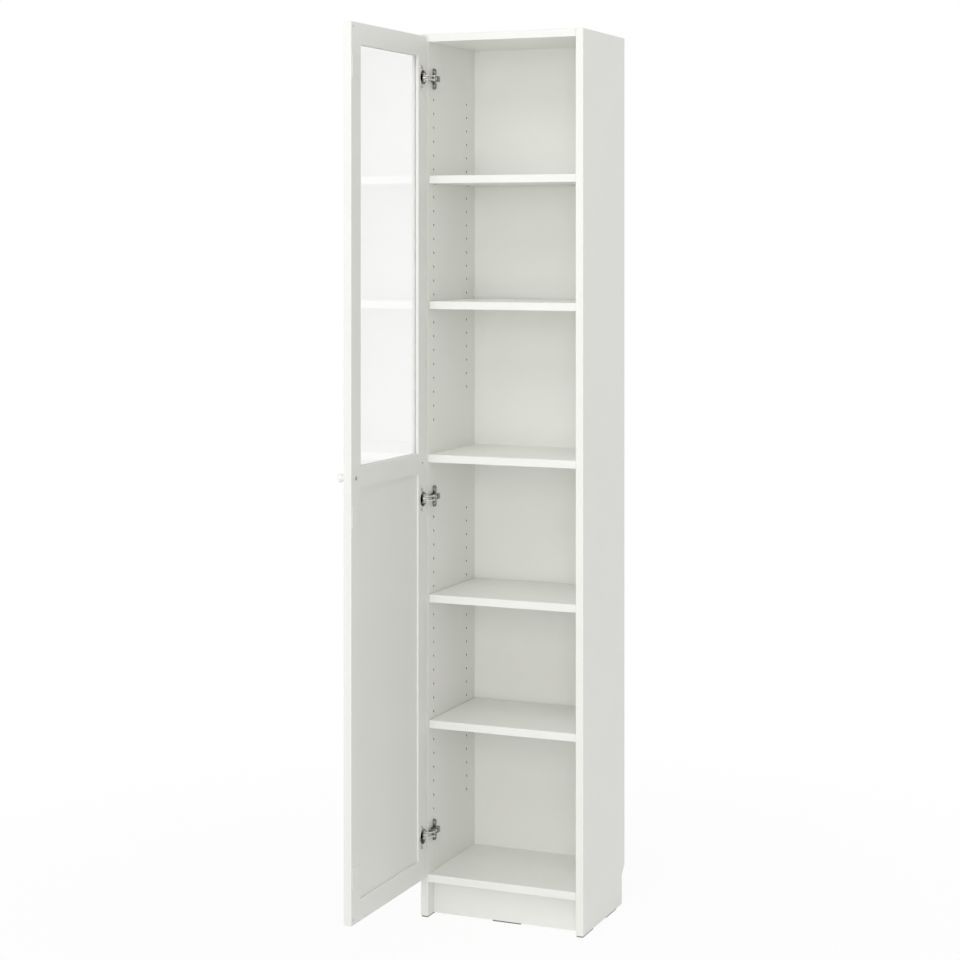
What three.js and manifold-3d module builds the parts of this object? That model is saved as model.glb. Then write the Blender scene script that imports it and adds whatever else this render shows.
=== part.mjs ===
// A tall, narrow bookcase with one full-height door. The upper half of the door
// is glazed and the lower half is a recessed panel. The door hangs on three
// concealed hinges and is shown standing open, square to the front.
//
// Millimetres. X runs to the right, Y to the back and Z up. The origin is on the
// floor under the middle glide of the plinth, at the middle of the width.

import * as THREE from 'three';
import Module from 'manifold-3d';
import { mergeVertices } from 'three/addons/utils/BufferGeometryUtils.js';

const wasm = await Module();
wasm.setup();

// Carcass boards
const carcassWidth = 396;
const carcassDepth = 280;
const sideHeight = 2020;
const boardThickness = 18;
const edgeEase = 0.8;
const jointGap = 0.2;
const cutOverrun = 2;

// Glides under the sides and the plinth
const glideThickness = 3;
const glideLength = 70;
const glideMargin = 1;
const glideCorner = 3;
const rearGlideInset = 54;

// Plinth, and the recess for a skirting board behind it
const plinthSetback = 33;
const plinthThickness = 16;
const plinthHeight = 78;
const skirtingDepth = 19;
const skirtingHeight = 67;
const skirtingSlope = 20;

// Back sheet, held in grooves in the sides
const backThickness = 3;
const backInset = 5;
const backGrooveDepth = 8;
const backGrooveClearance = 0.2;
const backEdgeClearance = 1;
const backBottomLap = 14;
const backTopLap = 14;
const foldScoreWidth = 3;
const foldScoreDepth = 1.5;

// Shelves
const fixedShelfTop = 1060;
const fixedShelfSetback = 1;
const shelfSetback = 4;
const shelfRearClearance = 3;
const shelfEndClearance = 1.2;

// Holes in the sides, counted down in rows from the top shelf hole
const topHoleHeight = 1873.8;
const holePitch = 32;
const holeDiameter = 5.3;
const holeDepth = 12;
const holeFacets = 7;
const frontHoleSetback = 32;
const holeColumnSpacing = 192;
const upperFrontRows = [0, 23];
const upperRearRows = [0, 21];
const lowerRows = [30, 51];
const hingeRows = [-2, 28, 52];
const shelfRows = [6, 15, 36, 45];

// Shelf pins
const pinDiameter = 5;
const pinShankLength = 10;
const pinCollarDiameter = 7.4;
const pinCollarThickness = 0.8;
const pinHeadLength = 8;
const pinFlatHeight = 1.9;
const pinFacets = 8;
const pinRecessDepth = 3;
const pinRecessClearance = 0.6;

// Door
const doorWidth = 390;
const doorHeight = 1920;
const doorThickness = 18;
const doorBottom = 96;
const doorGap = 2;
const doorOpenAngle = 90;
const frameWidth = 46;
const midRailTop = 1067;
const frameGap = 0.3;
const frameGrooveDepth = 5;
const grooveClearance = 0.3;
const paneEdgeClearance = 0.8;
const glassThickness = 4;
const glassRecess = 7;
const panelThickness = 6;
const panelRecess = 4.5;

// Knob on the free stile, and the spare pilot hole on the hinge stile
const knobInset = 22;
const knobHeight = 1044;
const knobDiameter = 21;
const knobNeckDiameter = 10;
const knobFootDiameter = 13;
const knobProjection = 22;
const knobNeckShare = 0.4;
const knobRimShare = 0.78;
const knobCrownShare = 0.97;
const knobCrownWidthShare = 0.72;
const knobFacets = 18;
const knobRings = 6;
const knobBoreDepth = 14;
const screwDiameter = 4;
const screwClearance = 0.3;
const screwTipClearance = 2;
const screwHeadDiameter = 8.4;
const screwHeadThickness = 1.8;
const knobHoleDiameter = 5;
const pilotHoleDepth = 12;

// Hinges: places of the pivots on the plan of the hinge
const doorHingeOverlay = 15;
const outerArmPivotX = 17.5;
const outerArmPivotY = -2.45;
const innerArmPivotX = 7.5;
const innerArmPivotY = -10.8;
const cupPivotInset = 8.3;
const outerCupPivotDepth = 2;
const innerCupPivotDepth = 5.9;
const outerLinkTurnShare = 0.439;
const innerLinkTurnShare = 0.551;

// Hinges: links and axles
const axleDiameter = 2.2;
const axleClearance = 0.2;
const rivetStand = 0.2;
const openPivotClearance = 1.5;
const eyeDiameter = 4.4;
const linkWidth = 2.2;
const linkGap = 0.3;
const innerLinkWidth = 3.2;
const outerLinkThickness = 2;
const cheekThickness = 1.7;
const outerCupPullX = 11.2;
const outerCupPullY = -4.1;
const outerArmPullX = -3.8;
const outerArmPullY = -0.4;
const innerCupPullX = -3.4;
const innerCupPullY = -6.1;
const innerArmPullX = 0.1;
const innerArmPullY = -1.5;
const stripSegments = 6;
const eyeBlend = 0.7;
const endMarginShare = 0.06;
const eyeFacets = 12;

// Hinges: mounting plate and arm
const plateThickness = 2;
const plateHeight = 8;
const plateWidth = 9;
const plateFront = 16;
const plateRear = 41;
const plateFootWidth = 16;
const plateWingWidth = 11;
const plateWingLength = 48;
const plateCorner = 4;
const plateHoleDiameter = 5.4;
const armWidth = 13;
const armFoot = 3;
const armRise = 3;
const armRear = 43;
const armPlateGap = 0.4;
const blockClearance = 0.6;
const blockTaper = 4;
const slotClearance = 0.5;
const camCentreY = 25;
const camSlotLength = 14;
const camSlotWidth = 5;
const camSlotDepth = 1;

// Hinges: cup in the door
const cupDiameter = 35;
const cupDepth = 13;
const cupInset = 22;
const cupClearance = 0.3;
const cupWall = 0.8;
const cupFlangeDiameter = 38;
const cupFlangeThickness = 1.2;
const cupWingLength = 52;
const cupWingWidth = 12;
const cupScrewOffset = 9.5;
const cupScrewSpacing = 45;
const cupScrewHoleDiameter = 4.4;
const cupPilotDiameter = 3;
const cupCorner = 4;
const cupFacets = 22;
const notchClearance = 0.5;

// Covers over the unused cup bores
const coverWidth = 38;
const coverHeight = 48;
const coverThickness = 1.2;
const coverPlugDepth = 4;

// Fineness of arcs, and the distance at which corners count as one
const arcSegments = 2;
const weldDistance = 0.001;

// Turns a drawing plane so that its extrusion runs along the named axis
const turnedTo = {
  x: new THREE.Matrix4().makeBasis(
    new THREE.Vector3(0, 1, 0),
    new THREE.Vector3(0, 0, 1),
    new THREE.Vector3(1, 0, 0),
  ),
  y: new THREE.Matrix4().makeBasis(
    new THREE.Vector3(0, 0, 1),
    new THREE.Vector3(1, 0, 0),
    new THREE.Vector3(0, 1, 0),
  ),
  z: new THREE.Matrix4(),
};

// Finishes
const whiteFoil = { color: 0xf0f0ec, roughness: 0.45, metalness: 0 };
const whiteLacquer = { color: 0xf3f3f0, roughness: 0.3, metalness: 0 };
const greyPlastic = { color: 0x6f7173, roughness: 0.6, metalness: 0 };
const palePlastic = { color: 0xd8d8d2, roughness: 0.5, metalness: 0 };
const clearGlass = { color: 0xf2f7f5, roughness: 0.05, metalness: 0 };
const nickelSteel = { color: 0xb6b4ac, roughness: 0.3, metalness: 1 };

// Places that follow from the driving dimensions
const innerHalfWidth = carcassWidth / 2 - boardThickness;
const frontY = -plinthSetback - plinthThickness / 2;
const rearY = frontY + carcassDepth;
const backRearY = rearY - backInset;
const backFrontY = backRearY - backThickness;
const carcassTop = glideThickness + sideHeight;
const plinthTop = glideThickness + plinthHeight;
const bottomPanelTop = plinthTop + boardThickness;
const topPanelUnder = carcassTop - boardThickness;
const frontHoleY = frontY + frontHoleSetback;
const rearHoleY = frontHoleY + holeColumnSpacing;
const doorTop = doorBottom + doorHeight;
const midRailBottom = midRailTop - frameWidth;
const bottomRailTop = doorBottom + frameWidth;
const topRailBottom = doorTop - frameWidth;

const bookcase = new THREE.Group();

function rowHeight(row) {
  return topHoleHeight - row * holePitch;
}

function rowsBetween([first, last]) {
  return Array.from({ length: last - first + 1 }, (_, step) => first + step);
}

// Joins and cuts on closed solids
function solid(geometry) {
  const bare = geometry.index ? geometry.toNonIndexed() : geometry.clone();
  bare.deleteAttribute('normal');
  bare.deleteAttribute('uv');
  const merged = mergeVertices(bare, weldDistance);
  return new wasm.Manifold(
    new wasm.Mesh({
      numProp: 3,
      vertProperties: merged.attributes.position.array,
      triVerts: new Uint32Array(merged.index.array),
    }),
  );
}

function joined(geometries) {
  return geometries.map(solid).reduce((whole, piece) => whole.add(piece));
}

function cutFrom(geometry, cutters) {
  const body = geometry.isBufferGeometry ? solid(geometry) : geometry;
  return cutters.length ? body.subtract(joined(cutters)) : body;
}

function geometryOf(body) {
  const { vertProperties, triVerts } = body.getMesh();
  const geometry = new THREE.BufferGeometry();
  geometry.setAttribute('position', new THREE.BufferAttribute(vertProperties, 3));
  geometry.setIndex(new THREE.BufferAttribute(triVerts, 1));
  const faceted = geometry.toNonIndexed();
  faceted.computeVertexNormals();
  return faceted;
}

function addPiece(group, name, shape, finish) {
  const geometry = shape.isBufferGeometry ? shape : geometryOf(shape);
  const mesh = new THREE.Mesh(geometry, new THREE.MeshStandardMaterial(finish));
  mesh.name = name;
  group.add(mesh);
  return mesh;
}

// A flat outline extruded along one axis. Along X the outline is (y, z), along Y
// it is (z, x) and along Z it is (x, y).
function extruded(axis, outline, start, end) {
  const shape = Array.isArray(outline)
    ? new THREE.Shape(outline.map(([u, v]) => new THREE.Vector2(u, v)))
    : outline;
  const geometry = new THREE.ExtrudeGeometry(shape, {
    depth: end - start,
    bevelEnabled: false,
    curveSegments: arcSegments,
  });
  geometry.translate(0, 0, start);
  return geometry.applyMatrix4(turnedTo[axis]);
}

function box(x0, x1, y0, y1, z0, z1) {
  return extruded('z', rectangle(x0, x1, y0, y1), z0, z1);
}

function rectangle(u0, u1, v0, v1) {
  return [[u0, v0], [u1, v0], [u1, v1], [u0, v1]];
}

function roundedRectangle(u0, u1, v0, v1, radius) {
  const shape = new THREE.Shape();
  shape.moveTo(u0 + radius, v0);
  shape.lineTo(u1 - radius, v0);
  shape.absarc(u1 - radius, v0 + radius, radius, -Math.PI / 2, 0);
  shape.lineTo(u1, v1 - radius);
  shape.absarc(u1 - radius, v1 - radius, radius, 0, Math.PI / 2);
  shape.lineTo(u0 + radius, v1);
  shape.absarc(u0 + radius, v1 - radius, radius, Math.PI / 2, Math.PI);
  shape.lineTo(u0, v0 + radius);
  shape.absarc(u0 + radius, v0 + radius, radius, Math.PI, Math.PI * 1.5);
  return shape;
}

function disc(axis, u, v, radius, start, end, facets) {
  const outline = Array.from({ length: facets }, (_, step) => {
    const angle = (2 * Math.PI * (step + 0.5)) / facets;
    return [u + radius * Math.cos(angle), v + radius * Math.sin(angle)];
  });
  return extruded(axis, outline, start, end);
}

// Radius of a faceted hole whose flats clear a round pin
function holeRadius(radius, clearance, facets) {
  return (radius + clearance) / Math.cos(Math.PI / facets);
}

// Carcass

// Plan section of a side: eased front corners and the groove for the back sheet.
// The section is drawn for the left side and mirrored for the right one.
function sideSection(hand) {
  const outer = carcassWidth / 2;
  const inner = innerHalfWidth;
  const grooveBottom = inner + backGrooveDepth;
  const grooveFront = backFrontY - backGrooveClearance;
  const grooveRear = backRearY + backGrooveClearance;
  const section = [
    [outer, frontY + edgeEase],
    [outer - edgeEase, frontY],
    [inner + edgeEase, frontY],
    [inner, frontY + edgeEase],
    [inner, grooveFront],
    [grooveBottom, grooveFront],
    [grooveBottom, grooveRear],
    [inner, grooveRear],
    [inner, rearY],
    [outer, rearY],
  ];
  return section.map(([x, y]) => [hand * x, y]);
}

function skirtingNotch() {
  const notchFront = rearY - skirtingDepth;
  const overrunTop = (skirtingSlope * (skirtingDepth + cutOverrun)) / skirtingDepth;
  const wallTop = glideThickness + skirtingHeight;
  const outline = [
    [notchFront, glideThickness - cutOverrun],
    [rearY + cutOverrun, glideThickness - cutOverrun],
    [rearY + cutOverrun, wallTop + overrunTop],
    [notchFront, wallTop],
  ];
  return extruded('x', outline, -carcassWidth, carcassWidth);
}

function sideHoles(hand) {
  const columns = [
    [frontHoleY, [...rowsBetween(upperFrontRows), ...rowsBetween(lowerRows)]],
    [rearHoleY, [...rowsBetween(upperRearRows), ...rowsBetween(lowerRows)]],
    [frontHoleY, hingeRows.flatMap((row) => [row, row + 1])],
  ];
  const bottom = hand * (innerHalfWidth + holeDepth);
  const mouth = hand * (innerHalfWidth - cutOverrun);
  const [start, end] = [Math.min(bottom, mouth), Math.max(bottom, mouth)];
  const radius = holeRadius(holeDiameter / 2, 0, holeFacets);
  return columns.flatMap(([y, rows]) =>
    rows.map((row) => disc('x', y, rowHeight(row), radius, start, end, holeFacets)),
  );
}

function addSide(name, hand) {
  const board = extruded('z', sideSection(hand), glideThickness, carcassTop);
  addPiece(bookcase, name, cutFrom(board, [skirtingNotch(), ...sideHoles(hand)]), whiteFoil);
}

// A board across the carcass with its long front edge eased
function crossBoard(front, rear, under, thickness, endGap) {
  const top = under + thickness;
  const outline = [
    [front + edgeEase, under],
    [rear, under],
    [rear, top],
    [front + edgeEase, top],
    [front, top - edgeEase],
    [front, under + edgeEase],
  ];
  const halfLength = innerHalfWidth - endGap;
  return extruded('x', outline, -halfLength, halfLength);
}

function addCarcassBoards() {
  const boardRear = backFrontY - jointGap;
  const plinthBoard = box(
    -innerHalfWidth + jointGap,
    innerHalfWidth - jointGap,
    frontY + plinthSetback,
    frontY + plinthSetback + plinthThickness,
    glideThickness,
    plinthTop - jointGap,
  );
  addPiece(
    bookcase,
    'top_panel',
    crossBoard(frontY, boardRear, topPanelUnder, boardThickness, jointGap),
    whiteFoil,
  );
  addPiece(
    bookcase,
    'bottom_panel',
    crossBoard(frontY, boardRear, plinthTop, boardThickness, jointGap),
    whiteFoil,
  );
  addPiece(bookcase, 'plinth_board', plinthBoard, whiteFoil);
  addPiece(
    bookcase,
    'fixed_shelf',
    crossBoard(
      frontY + fixedShelfSetback,
      boardRear,
      fixedShelfTop - boardThickness,
      boardThickness,
      jointGap,
    ),
    whiteFoil,
  );
}

// The back sheet folds about a scored line down the middle of its rear face
function addBackPanel() {
  const halfWidth = innerHalfWidth + backGrooveDepth - backEdgeClearance;
  const outline = [
    [-halfWidth, backFrontY],
    [halfWidth, backFrontY],
    [halfWidth, backRearY],
    [foldScoreWidth / 2, backRearY],
    [0, backRearY - foldScoreDepth],
    [-foldScoreWidth / 2, backRearY],
    [-halfWidth, backRearY],
  ];
  const sheet = extruded('z', outline, bottomPanelTop - backBottomLap, topPanelUnder + backTopLap);
  addPiece(bookcase, 'back_panel', sheet, whiteFoil);
}

function addGlides() {
  const sideX = innerHalfWidth + boardThickness / 2;
  const halfSide = boardThickness / 2 - glideMargin;
  const frontStart = frontY + glideMargin;
  const rearStart = rearY - rearGlideInset - glideLength;
  for (const [hand, word] of [[-1, 'left'], [1, 'right']]) {
    for (const [start, place] of [[frontStart, 'front'], [rearStart, 'rear']]) {
      const x = hand * sideX;
      const outline = roundedRectangle(x - halfSide, x + halfSide, start, start + glideLength, glideCorner);
      const pad = extruded('z', outline, 0, glideThickness);
      addPiece(bookcase, `glide_${word}_${place}`, pad, greyPlastic);
    }
  }
  const halfLength = glideLength / 2;
  const halfPlinth = plinthThickness / 2 - glideMargin;
  const outline = roundedRectangle(-halfLength, halfLength, -halfPlinth, halfPlinth, glideCorner);
  addPiece(bookcase, 'glide_plinth', extruded('z', outline, 0, glideThickness), greyPlastic);
}

// Adjustable shelves and the pins that carry them

const pinReach = jointGap + pinCollarThickness + pinHeadLength;

function pinRecesses(under) {
  const halfRecess = pinCollarDiameter / 2 + pinRecessClearance;
  const recessInner = innerHalfWidth - pinReach - pinRecessClearance;
  const recesses = [];
  for (const hand of [-1, 1]) {
    const ends = [hand * recessInner, hand * (innerHalfWidth + cutOverrun)];
    for (const y of [frontHoleY, rearHoleY]) {
      recesses.push(
        box(
          Math.min(...ends),
          Math.max(...ends),
          y - halfRecess,
          y + halfRecess,
          under - cutOverrun,
          under + pinRecessDepth,
        ),
      );
    }
  }
  return recesses;
}

function addAdjustableShelf(name, row) {
  const under = rowHeight(row) + pinFlatHeight + jointGap - pinRecessDepth;
  const board = crossBoard(
    frontY + shelfSetback,
    backFrontY - shelfRearClearance,
    under,
    boardThickness,
    shelfEndClearance,
  );
  addPiece(bookcase, name, cutFrom(board, pinRecesses(under)), whiteFoil);
}

// A shelf pin: shank in the side's hole, collar on its face, head with a flat top
function shelfPin(hand) {
  const face = innerHalfWidth - jointGap;
  const reach = (depth, diameter, length) => {
    const ends = [hand * depth, hand * (depth + length)];
    return disc('x', 0, 0, diameter / 2, Math.min(...ends), Math.max(...ends), pinFacets);
  };
  const headStart = face - pinCollarThickness - pinHeadLength;
  const head = reach(headStart, pinDiameter, pinHeadLength + pinCollarThickness);
  const collar = reach(face - pinCollarThickness, pinCollarDiameter, pinCollarThickness);
  const shank = reach(face - pinCollarThickness, pinDiameter, pinCollarThickness + pinShankLength);
  const headEnds = [hand * (headStart - cutOverrun), hand * (face - pinCollarThickness)];
  const flatCut = box(
    Math.min(...headEnds),
    Math.max(...headEnds),
    -pinDiameter,
    pinDiameter,
    pinFlatHeight,
    pinDiameter,
  );
  return cutFrom(joined([head, collar, shank]), [flatCut]);
}

function addShelvesAndPins() {
  const pinShapes = new Map([[-1, geometryOf(shelfPin(-1))], [1, geometryOf(shelfPin(1))]]);
  shelfRows.forEach((row, index) => {
    const shelf = index + 1;
    addAdjustableShelf(`adjustable_shelf_${shelf}`, row);
    for (const [hand, word] of [[-1, 'left'], [1, 'right']]) {
      for (const [y, place] of [[frontHoleY, 'front'], [rearHoleY, 'rear']]) {
        const name = `shelf_pin_${shelf}_${word}_${place}`;
        const pin = addPiece(bookcase, name, pinShapes.get(hand), nickelSteel);
        pin.position.set(0, y, rowHeight(row));
      }
    }
  });
}

// Concealed hinges
//
// Every hinge is a four-bar linkage. In plan, x is counted from the inner face of
// the side and y from the front of the carcass, with the door shut. The outer link
// turns on the arm at outerArmPivot and on the cup at outerCupPivot, the inner link
// turns on the arm at innerArmPivot and reaches for innerCupPivot. While the door
// opens by one degree, each link turns back by its own share of a degree.

const doorEdge = new THREE.Vector2(-doorHingeOverlay, -doorGap);
const outerArmPivot = new THREE.Vector2(outerArmPivotX, outerArmPivotY);
const innerArmPivot = new THREE.Vector2(innerArmPivotX, innerArmPivotY);
const outerCupPivot = new THREE.Vector2(cupPivotInset, -outerCupPivotDepth).add(doorEdge);
const innerCupPivot = new THREE.Vector2(cupPivotInset, -innerCupPivotDepth).add(doorEdge);
const openTurn = THREE.MathUtils.degToRad(doorOpenAngle);
const outerTurn = openTurn * outerLinkTurnShare;
const innerTurn = openTurn * innerLinkTurnShare;

// The door's edge corner when the door stands open, on the plan of the hinge
function openDoorEdge() {
  const origin = new THREE.Vector2(0, 0);
  const pivot = outerCupPivot.clone().sub(outerArmPivot).rotateAround(origin, outerTurn);
  const corner = doorEdge.clone().sub(outerCupPivot).rotateAround(origin, -openTurn);
  return pivot.add(outerArmPivot).add(corner);
}

// Points along an arc, from one angle to the other
function arcPoints(centre, radius, from, to, steps) {
  return Array.from({ length: steps + 1 }, (_, step) => {
    const angle = from + ((to - from) * step) / steps;
    return [centre.x + radius * Math.cos(angle), centre.y + radius * Math.sin(angle)];
  });
}

function angleFrom(centre, [x, y]) {
  return Math.atan2(y - centre.y, x - centre.x);
}

// The round end of a link, from one of its sides the long way about to the other
function roundEnd(centre, before, after) {
  const from = angleFrom(centre, before);
  const sweep = THREE.MathUtils.euclideanModulo(angleFrom(centre, after) - from, 2 * Math.PI);
  const margin = sweep * endMarginShare;
  return arcPoints(centre, eyeDiameter / 2, from + margin, from + sweep - margin, eyeFacets - 2);
}

// The outline of a link: a bent strip of even width with a round eye at each end
function linkOutline(from, fromPull, toPull, to) {
  const curve = new THREE.CubicBezierCurve(
    from,
    from.clone().add(fromPull),
    to.clone().add(toPull),
    to,
  );
  const shares = Array.from({ length: stripSegments + 1 }, (_, step) => step / stripSegments);
  const beyondEyes = ([x, y]) =>
    [from, to].every((pivot) => Math.hypot(x - pivot.x, y - pivot.y) > eyeDiameter / 2 + eyeBlend);
  const edge = (side) =>
    shares
      .map((share) => {
        const point = curve.getPoint(share);
        const ahead = curve.getTangent(share);
        return [point.x + side * ahead.y * (linkWidth / 2), point.y - side * ahead.x * (linkWidth / 2)];
      })
      .filter(beyondEyes);
  const right = edge(1);
  const left = edge(-1).reverse();
  return [
    ...right,
    ...roundEnd(to, right.at(-1), left[0]),
    ...left,
    ...roundEnd(from, left.at(-1), right[0]),
  ];
}

function eye(centre, radius, start, end) {
  return disc('z', centre.x, centre.y, radius, start, end, eyeFacets);
}

function axle(centre, start, end) {
  return eye(centre, axleDiameter / 2, start, end);
}

function axleHole(centre, start, end) {
  const radius = holeRadius(axleDiameter / 2, axleClearance, eyeFacets);
  return eye(centre, radius, start - cutOverrun, end + cutOverrun);
}

const innerLinkHalf = innerLinkWidth / 2;
const cheekInner = innerLinkHalf + linkGap;
const cheekOuter = cheekInner + cheekThickness;
const flangeInner = cheekOuter + linkGap;
const flangeOuter = flangeInner + outerLinkThickness;

// The outer link is a pair of flanges riveted on the axle that turns in the arm
function outerLink() {
  const outline = linkOutline(
    outerCupPivot,
    new THREE.Vector2(outerCupPullX, outerCupPullY),
    new THREE.Vector2(outerArmPullX, outerArmPullY),
    outerArmPivot,
  );
  const flanges = [
    extruded('z', outline, -flangeOuter, -flangeInner),
    extruded('z', outline, flangeInner, flangeOuter),
  ];
  const rivetEnd = flangeOuter + rivetStand;
  return joined([...flanges, axle(outerArmPivot, -rivetEnd, rivetEnd)])
    .subtract(solid(axleHole(outerCupPivot, -flangeOuter, flangeOuter)));
}

// The inner link ends just short of its axle in the cup
function innerLink() {
  const outline = linkOutline(
    innerCupPivot,
    new THREE.Vector2(innerCupPullX, innerCupPullY),
    new THREE.Vector2(innerArmPullX, innerArmPullY),
    innerArmPivot,
  );
  const openRadius = axleDiameter / 2 + openPivotClearance;
  return cutFrom(extruded('z', outline, -innerLinkHalf, innerLinkHalf), [
    axleHole(innerArmPivot, -innerLinkHalf, innerLinkHalf),
    eye(innerCupPivot, openRadius, -innerLinkHalf - cutOverrun, innerLinkHalf + cutOverrun),
  ]);
}

// The arm: a channel over the mounting plate, a raised block and a forked nose
function hingeArm() {
  const noseRadius = eyeDiameter / 2;
  const blockFront = outerArmPivotY + noseRadius + blockClearance;
  const channelTop = plateHeight + armRise;
  const channelFront = plateFront - armPlateGap;
  const noseSlope = innerArmPivot.clone().sub(outerArmPivot).angle() + Math.PI / 2;
  const noseSide = noseSlope - 2 * Math.PI;
  const nose = [
    [armFoot, channelFront],
    [armFoot, blockFront],
    ...arcPoints(innerArmPivot, noseRadius, -Math.PI, noseSide, eyeFacets / 2),
    ...arcPoints(outerArmPivot, noseRadius, noseSide, 0, eyeFacets / 3),
    [outerArmPivotX, channelFront],
  ];
  const block = [
    [armFoot, blockFront],
    [outerArmPivotX + noseRadius, blockFront],
    [outerArmPivotX, channelFront - blockTaper],
    [channelTop, channelFront + blockTaper],
    [armFoot, channelFront + blockTaper],
  ];
  const channel = rectangle(armFoot, channelTop, channelFront, armRear);
  const halfArm = armWidth / 2;
  const plateRoom = box(
    armFoot - cutOverrun,
    plateHeight + armPlateGap,
    channelFront,
    armRear + cutOverrun,
    -plateWidth / 2 - armPlateGap,
    plateWidth / 2 + armPlateGap,
  );
  const slotReach = noseRadius + slotClearance;
  const slot = box(
    innerArmPivotX - armRear,
    innerArmPivotX + slotReach,
    innerArmPivotY - armRear,
    innerArmPivotY + slotReach,
    -cheekInner,
    cheekInner,
  );
  const camSlot = box(
    channelTop - camSlotDepth,
    channelTop + cutOverrun,
    camCentreY - camSlotLength / 2,
    camCentreY + camSlotLength / 2,
    -camSlotWidth / 2,
    camSlotWidth / 2,
  );
  const body = joined([
    extruded('z', nose, -cheekOuter, cheekOuter),
    extruded('z', block, -halfArm, halfArm),
    extruded('z', channel, -halfArm, halfArm),
  ]);
  return cutFrom(body, [
    plateRoom,
    slot,
    camSlot,
    axleHole(outerArmPivot, -cheekOuter, cheekOuter),
  ]).add(solid(axle(innerArmPivot, -cheekOuter, cheekOuter)));
}

// The cross-shaped plate on the side, with a rail that the arm slides over
function mountingPlate() {
  const wingHalf = plateWingWidth / 2;
  const wing = roundedRectangle(
    frontHoleSetback - wingHalf,
    frontHoleSetback + wingHalf,
    -plateWingLength / 2,
    plateWingLength / 2,
    plateCorner,
  );
  const foot = roundedRectangle(
    plateFront,
    plateRear,
    -plateFootWidth / 2,
    plateFootWidth / 2,
    plateCorner,
  );
  const baseTop = jointGap + plateThickness;
  const body = joined([
    extruded('x', wing, jointGap, baseTop),
    extruded('x', foot, jointGap, baseTop),
    box(jointGap, plateHeight, plateFront, plateRear, -plateWidth / 2, plateWidth / 2),
  ]);
  const screwHoles = [-1, 1].map((side) =>
    disc(
      'x',
      frontHoleSetback,
      (side * holePitch) / 2,
      plateHoleDiameter / 2,
      -cutOverrun,
      plateHeight,
      holeFacets,
    ),
  );
  return cutFrom(body, screwHoles);
}

// The cup is drawn in the door's own frame: x from the hinge edge, y out of the
// inner face, z from the middle of the hinge.
function hingeCup() {
  const outerRadius = cupDiameter / 2 - cupClearance;
  const innerRadius = outerRadius - cupWall;
  const floor = -cupDepth + cupClearance;
  const cavityFloor = floor + cupWall;
  const wing = roundedRectangle(
    -cupWingLength / 2,
    cupWingLength / 2,
    cupInset + cupScrewOffset - cupWingWidth / 2,
    cupInset + cupScrewOffset + cupWingWidth / 2,
    cupCorner,
  );
  const shell = joined([
    disc('y', 0, cupInset, outerRadius, floor, jointGap + cupFlangeThickness / 2, cupFacets),
    disc('y', 0, cupInset, cupFlangeDiameter / 2, jointGap, jointGap + cupFlangeThickness, cupFacets),
    extruded('y', wing, jointGap, jointGap + cupFlangeThickness),
  ]);
  const screwHoles = [-1, 1].map((side) =>
    disc(
      'y',
      (side * cupScrewSpacing) / 2,
      cupInset + cupScrewOffset,
      cupScrewHoleDiameter / 2,
      -cutOverrun,
      cupFlangeThickness + cutOverrun,
      holeFacets,
    ),
  );
  const cavity = disc('y', 0, cupInset, innerRadius, cavityFloor, cupDepth, cupFacets);
  const halfNotch = flangeOuter + notchClearance;
  const linkNotch = box(
    cupInset - cupFlangeDiameter,
    cupPivotInset,
    -innerCupPivotDepth + axleDiameter,
    cupDepth,
    -halfNotch,
    halfNotch,
  );
  const hollow = cutFrom(shell, [cavity, linkNotch, ...screwHoles]);
  const axles = joined([
    eye(new THREE.Vector2(cupPivotInset, -innerCupPivotDepth), axleDiameter / 2, -outerRadius, outerRadius),
    eye(new THREE.Vector2(cupPivotInset, -outerCupPivotDepth), axleDiameter / 2, -outerRadius, outerRadius),
  ]);
  const axleRoom = disc('y', 0, cupInset, outerRadius - cupWall / 2, floor, cupDepth, cupFacets);
  const stubGap = box(
    cupPivotInset - axleDiameter,
    cupPivotInset + axleDiameter,
    -outerCupPivotDepth - axleDiameter / 2 - axleClearance,
    -outerCupPivotDepth + axleDiameter,
    -flangeInner + linkGap / 2,
    flangeInner - linkGap / 2,
  );
  return hollow.add(axles.intersect(solid(axleRoom)).subtract(solid(stubGap)));
}

function addHinges() {
  const shapes = {
    plate: geometryOf(mountingPlate()),
    arm: geometryOf(hingeArm()),
    outer: geometryOf(outerLink().translate([-outerArmPivot.x, -outerArmPivot.y, 0])),
    inner: geometryOf(innerLink().translate([-innerArmPivot.x, -innerArmPivot.y, 0])),
  };
  forEachHinge((word, height) => {
    const hinge = new THREE.Group();
    hinge.position.set(-innerHalfWidth, frontY, height);
    addPiece(hinge, `hinge_plate_${word}`, shapes.plate, nickelSteel);
    addPiece(hinge, `hinge_arm_${word}`, shapes.arm, nickelSteel);
    const outer = addPiece(hinge, `hinge_outer_link_${word}`, shapes.outer, nickelSteel);
    outer.position.set(outerArmPivot.x, outerArmPivot.y, 0);
    outer.rotation.z = outerTurn;
    const inner = addPiece(hinge, `hinge_inner_link_${word}`, shapes.inner, nickelSteel);
    inner.position.set(innerArmPivot.x, innerArmPivot.y, 0);
    inner.rotation.z = innerTurn;
    bookcase.add(hinge);
  });
}

function forEachHinge(make) {
  const words = ['top', 'middle', 'bottom'];
  hingeRows.forEach((row, index) => make(words[index], rowHeight(row) - holePitch / 2));
}

// Door, drawn shut in its own frame: x from the hinge edge along the width, y out
// of the inner face towards the carcass, z up from the floor.

const glassFace = -glassRecess;
const panelFace = -panelRecess;

function paneGroove(face, thickness, x0, x1, z0, z1) {
  return box(x0, x1, face - thickness - grooveClearance, face + grooveClearance, z0, z1);
}

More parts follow.
